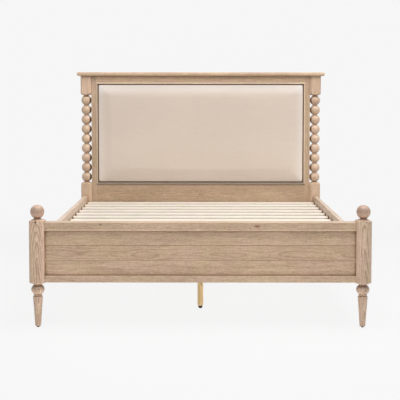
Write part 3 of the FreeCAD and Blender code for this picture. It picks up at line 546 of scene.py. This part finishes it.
# ---- colours, as the photograph shows each piece from the front ----
post_oak = (linear(222, 197, 174), linear(150, 121, 97))
finial_oak = (linear(208, 178, 158), linear(158, 127, 106))
rail_oak = (linear(211, 185, 158), linear(158, 131, 106))
side_oak = (linear(224, 203, 182), linear(176, 153, 132))
panel_oak = (linear(211, 184, 156), linear(156, 128, 102))
head_oak = (linear(209, 182, 154), linear(154, 127, 101))
bead_oak = (linear(224, 197, 172), linear(170, 142, 117))
# lighter than the other oak: painted highlight, for the top light on the proud mouldings
moulding_oak_painted_lit = (linear(232, 212, 188), linear(188, 162, 134))
slat_pine = (linear(246, 240, 231), linear(226, 216, 202))
# lighter than the pine itself: painted light, for the legs in the shade under the bed
leg_pine_painted_lit = (linear(255, 232, 180), linear(224, 182, 118))
plain_beech = (linear(214, 180, 145), linear(180, 140, 104))
ply_birch = (linear(214, 190, 158), linear(180, 151, 118))
linen_cream = linear(208, 193, 179)
knot_brown = linear(84, 56, 36)
knot_red = linear(128, 82, 57)
plastic_black = linear(34, 33, 33)
steel_black = linear(40, 40, 42)
zinc_grey = linear(205, 204, 200)

# how much lighter or darker a piece is than the others of its colour: partly its own tone, partly
# painted shade, as on the bottom moulding
tone_and_painted_shade = {"head_post_left": 0.98, "head_post_right": 0.95, "headboard_cap": 0.98,
             "head_top_rail": 1.06, "head_bottom_rail": 0.91,
             "head_stile_left": 0.84, "head_stile_right": 0.92,
             "panel_moulding_left": 0.78, "panel_moulding_right": 0.93,
             "panel_moulding_bottom": 0.70,
             "foot_post_left": 1.06, "foot_post_right": 0.96, "finial_right": 0.97,
             "foot_top_rail": 0.93, "foot_bottom_rail": 0.97, "side_rail_right": 0.92}

slat_side_shade = 0.76              # painted shade: how light the slats' sides are painted, against their tops
slat_coat = 0.5
leg_roughness = 0.45

# ---- where each group's seeds start, and the step from piece to piece ----
oak_seeds = (1.0, 1.7)
slat_seeds = (60.0, 2.3)
ledge_seeds = (95.0, 2.3)
leg_seeds = (110.0, 2.3)
dowel_seed = 130.0
board_seeds = (140.0, 1.0)

# ---- which wood each node is, and how its grain runs ----
upright = "XYZ"                # across the face, in depth, along the grain
crosswise = "ZYX"              # a rail or board seen from the front
lengthwise = "ZXY"             # a rail along the side of the bed
flat_across = "YZX"            # a slat seen from above
front_to_back = "XZY"          # a ball whose end grain faces the foot


def oak_pieces():
    """Each oak node with its colours, grain and figure."""
    listed = []
    for side in ("left", "right"):
        listed += [("head_post_" + side, bead_oak, upright, turned),
                   ("head_stile_" + side, head_oak, upright, straight),
                   ("panel_moulding_" + side, moulding_oak_painted_lit, upright, straight),
                   ("foot_post_" + side, post_oak, upright, flamed),
                   ("finial_" + side, finial_oak, front_to_back, turned),
                   ("side_rail_" + side, side_oak, lengthwise, straight)]
    for name, tones, figure in (("headboard_cap", head_oak, straight),
                                ("head_top_rail", head_oak, straight),
                                ("head_bottom_rail", head_oak, wavy),
                                ("panel_moulding_top", moulding_oak_painted_lit, straight),
                                ("panel_moulding_bottom", moulding_oak_painted_lit, straight),
                                ("foot_top_rail", rail_oak, straight),
                                ("foot_bottom_rail", rail_oak, straight),
                                ("foot_panel_board_1", panel_oak, straight),
                                ("foot_panel_board_2", panel_oak, wavy),
                                ("foot_panel_board_3", panel_oak, straight)):
        listed.append((name, tones, crosswise, figure))
    return listed


def knots_on(name):
    """The knots that show: place, size along each axis, strength and colour."""
    front = cad_low.y
    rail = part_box("foot_top_rail")[0].y
    if name == "foot_post_left":
        return (((-0.783, front, 0.5105), (0.006, 0.02, 0.008), 1.0, knot_brown),)
    if name == "foot_top_rail":
        return (((0.2695, rail, 0.491), (0.019, 0.02, 0.006), 0.95, knot_red),
                ((0.238, rail, 0.480), (0.008, 0.02, 0.004), 0.6, knot_red),
                ((-0.4745, rail, 0.4985), (0.0045, 0.02, 0.0045), 1.0, knot_brown))
    if name == "centre_leg_1":
        low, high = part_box(name)
        return (((high.x * 0.3, low.y, 0.150), (0.006, 0.02, 0.040), 0.6, knot_red),)
    return ()


def paint(name, material):
    """Gives a node one material, in place of the one that it came with."""
    slots = nodes[name].data.materials
    slots.clear()
    slots.append(material)


def numbered(pieces, seeds):
    """Each piece with its own seed."""
    first, step = seeds
    return [(piece, first + step * i) for i, piece in enumerate(pieces)]


def dress_wood():
    for (name, tones, axes, figure), seed in numbered(oak_pieces(), oak_seeds):
        tones = [scaled(tone, tone_and_painted_shade.get(name, 1.0)) for tone in tones]
        paint(name, wood(name, tones, axes, seed, figure, knots_on(name)))
    slats = sorted(n for n in nodes if n.startswith("slat_") and n.split("_")[-1].isdigit())
    for name, seed in numbered(slats, slat_seeds):
        paint(name, wood(name, slat_pine, flat_across, seed, softwood,
                         painted_side_shade=slat_side_shade, coat=slat_coat))
    for name, seed in numbered(("slat_ledge_left", "slat_ledge_right", "centre_beam"), ledge_seeds):
        paint(name, wood(name, slat_pine, lengthwise, seed, softwood))
    for name, seed in numbered(("centre_leg_1", "centre_leg_2", "centre_leg_3"), leg_seeds):
        paint(name, wood(name, leg_pine_painted_lit, upright, seed, softwood, knots_on(name), leg_roughness))
    dowels = wood("headboard_dowels", plain_beech, crosswise, dowel_seed, softwood)
    paint("headboard_dowels", dowels)
    for name, seed in numbered(("panel_backing_board", "headboard_rear_cover"), board_seeds):
        paint(name, wood(name, ply_birch, crosswise, seed, peeled))


def dress_metal_and_plastic():
    groups = (
        (moulded_plastic("black_plastic", plastic_black),
         ("levelling_foot_1", "levelling_foot_2", "levelling_foot_3", "corner_glides")),
        (powder_coat("black_steel", steel_black),
         ("rail_brackets", "beam_pocket_foot", "beam_pocket_head")),
        (zinc("zinc_plate", zinc_grey),
         ("finial_screws", "threaded_inserts", "centre_leg_bolts", "bracket_bolts",
          "bracket_screws", "slat_and_ledge_screws", "rear_cover_screws")))
    for material, names in groups:
        for name in names:
            paint(name, material)


# ---- the upholstered panel ----
pad_voxel = 0.008
pad_drawn_in = 0.0025          # how far the fabric's sides are pulled in before it swells
pad_rise = 0.003               # how far the crown stands over the foam
pad_fall = 0.007               # how far the border is drawn back by the fabric's pull
pad_slope = 0.075              # how far in from the edges the crown rises
pad_roundness = 1.5            # the power by which it does
front_gain = 2.0               # how soon, from the back to the front, a point takes the crown
front_start = 0.6
pad_held = 1.5                 # how deep the fabric is held at the back, in voxels
pad_quality = 4                # cloth steps in a frame
pad_pressure = 4.0
pad_frames = 20
pad_cap = 0.0025               # furthest that a point may move


def apply_modifiers(piece):
    """Turns what a piece's modifiers make into its own mesh."""
    graph = bpy.context.evaluated_depsgraph_get()
    made = bpy.data.meshes.new_from_object(piece.evaluated_get(graph), depsgraph=graph)
    piece.modifiers.clear()
    piece.data = made


def pad_start():
    """The panel's closed form: the frame's own solid, drawn in a little and crowned near its edges."""
    source = nodes["upholstered_panel"]
    low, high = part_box("upholstered_panel")
    mesh = source.data.copy()
    mesh.name = "linen_panel"
    pad = bpy.data.objects.new("linen_panel", mesh)
    bpy.context.scene.collection.objects.link(pad)
    bpy.context.view_layer.objects.active = pad
    remesh = pad.modifiers.new("voxels", "REMESH")
    remesh.mode = "VOXEL"
    remesh.voxel_size = pad_voxel
    apply_modifiers(pad)
    middle = (low + high) / 2.0
    half = (high - low) / 2.0
    for vertex in pad.data.vertices:
        place = vertex.co
        edge = min(half.x - abs(place.x - middle.x), half.z - abs(place.z - middle.z))
        front = (high.y - place.y) / (high.y - low.y)
        crown = 1.0 - (1.0 - min(1.0, max(edge, 0.0) / pad_slope)) ** pad_roundness
        share = min(1.0, max(0.0, front_gain * front - front_start))
        place.y -= (crown * (pad_rise + pad_fall) - pad_fall) * share
        place.x += pad_drawn_in * (-1.0 if place.x > middle.x else 1.0)
        place.z += pad_drawn_in * (-1.0 if place.z > middle.z else 1.0)
    return pad


def inflate(pad):
    """Swells the fabric with cloth, held at the board behind, then caps how far each point went."""
    before = [v.co.copy() for v in pad.data.vertices]
    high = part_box("upholstered_panel")[1]
    held = pad.vertex_groups.new(name="held")
    behind = high.y - pad_held * pad_voxel
    held.add([v.index for v in pad.data.vertices if v.co.y > behind], 1.0, "REPLACE")
    cloth = pad.modifiers.new("cloth", "CLOTH")
    settings = cloth.settings
    settings.quality = pad_quality
    settings.use_pressure = True
    settings.uniform_pressure_force = pad_pressure
    settings.effector_weights.gravity = 0.0
    settings.vertex_group_mass = "held"
    scene = bpy.context.scene
    for number in range(1, pad_frames + 1):
        scene.frame_set(number)
    apply_modifiers(pad)
    scene.frame_set(1)
    for vertex, was in zip(pad.data.vertices, before):
        moved = vertex.co - was
        if moved.length > pad_cap:
            vertex.co = was + moved * (pad_cap / moved.length)


def upholstery():
    pad = pad_start()
    inflate(pad)
    finer = pad.modifiers.new("finer", "SUBSURF")
    finer.levels = finer.render_levels = 1
    apply_modifiers(pad)
    for polygon in pad.data.polygons:
        polygon.use_smooth = True
    pad.data.materials.clear()
    pad.data.materials.append(linen("linen", linen_cream))
    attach(pad, "bed_frame")
    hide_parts("upholstered_panel")


# ---- the stage ----

def stage_floor():
    """A pale floor that keeps the bed's shadow nearby and is plain further off."""
    bpy.ops.mesh.primitive_plane_add(size=floor_size, location=(0.0, 0.0, 0.0))
    floor = bpy.context.active_object
    floor.name = "stage_floor"
    shade = Shading("stage_floor")
    diffuse = shade.add("ShaderNodeBsdfDiffuse")
    shade.feed(diffuse.inputs["Color"], floor_colour)
    glow = shade.add("ShaderNodeEmission")
    shade.feed(glow.inputs["Color"], backdrop)
    away = shade.vector("LENGTH", shade.object_place())
    plain = shade.spread(away, shadow_near, shadow_far, 1.0 - shadow_share, 1.0)
    choice = shade.add("ShaderNodeMixShader")
    shade.feed(choice.inputs["Fac"], shade.math("MULTIPLY", shade.looked_at(), plain))
    shade.feed(choice.inputs[1], diffuse.outputs[0])
    shade.feed(choice.inputs[2], glow.outputs[0])
    output = shade.add("ShaderNodeOutputMaterial")
    shade.feed(output.inputs["Surface"], choice.outputs[0])
    floor.data.materials.append(shade.material)


def sky():
    """Soft light whose strength is set for each side, and a plain pale backdrop to look at."""
    world = bpy.data.worlds.new("sky")
    bpy.context.scene.world = world
    world.use_nodes = True
    shade = Shading.of_world(world)
    direction = shade.add("ShaderNodeTexCoord").outputs["Generated"]
    lobes = []
    for axis, strength in sky_sides.values():
        towards = shade.math("MAXIMUM", shade.vector("DOT_PRODUCT", direction, axis), 0.0)
        lobes.append((shade.math("MULTIPLY", towards, towards), strength))
    light = shade.add("ShaderNodeBackground")
    shade.feed(light.inputs["Color"], white)
    shade.feed(light.inputs["Strength"], shade.weighed(lobes))
    plain = shade.add("ShaderNodeBackground")
    shade.feed(plain.inputs["Color"], backdrop)
    choice = shade.add("ShaderNodeMixShader")
    shade.feed(choice.inputs["Fac"], shade.looked_at())
    shade.feed(choice.inputs[1], light.outputs[0])
    shade.feed(choice.inputs[2], plain.outputs[0])
    output = shade.add("ShaderNodeOutputWorld")
    shade.feed(output.inputs["Surface"], choice.outputs[0])


def area_light(name, place, target, size, watts):
    data = bpy.data.lights.new(name, "AREA")
    data.shape = "RECTANGLE"
    data.size, data.size_y = size
    data.energy = watts
    lamp = bpy.data.objects.new(name, data)
    lamp.location = place
    aim = Vector(target) - Vector(place)
    lamp.rotation_euler = aim.to_track_quat("-Z", "Y").to_euler()
    bpy.context.scene.collection.objects.link(lamp)


def camera():
    data = bpy.data.cameras.new("camera")
    data.sensor_width = camera_sensor
    data.lens = camera_lens
    data.shift_y = camera_shift
    eye = bpy.data.objects.new("camera", data)
    eye.location = camera_place
    turn = (radians(90.0 - camera_pitch), radians(-camera_roll), radians(-camera_yaw))
    eye.rotation_euler = Euler(turn, "XYZ")
    bpy.context.scene.collection.objects.link(eye)
    bpy.context.scene.camera = eye


bpy.context.scene.view_settings.view_transform = "Standard"
camera()
sky()
area_light("overhead", top_light_place, top_light_target, top_light_size, top_light)
stage_floor()
dress_wood()
dress_metal_and_plastic()
upholstery()
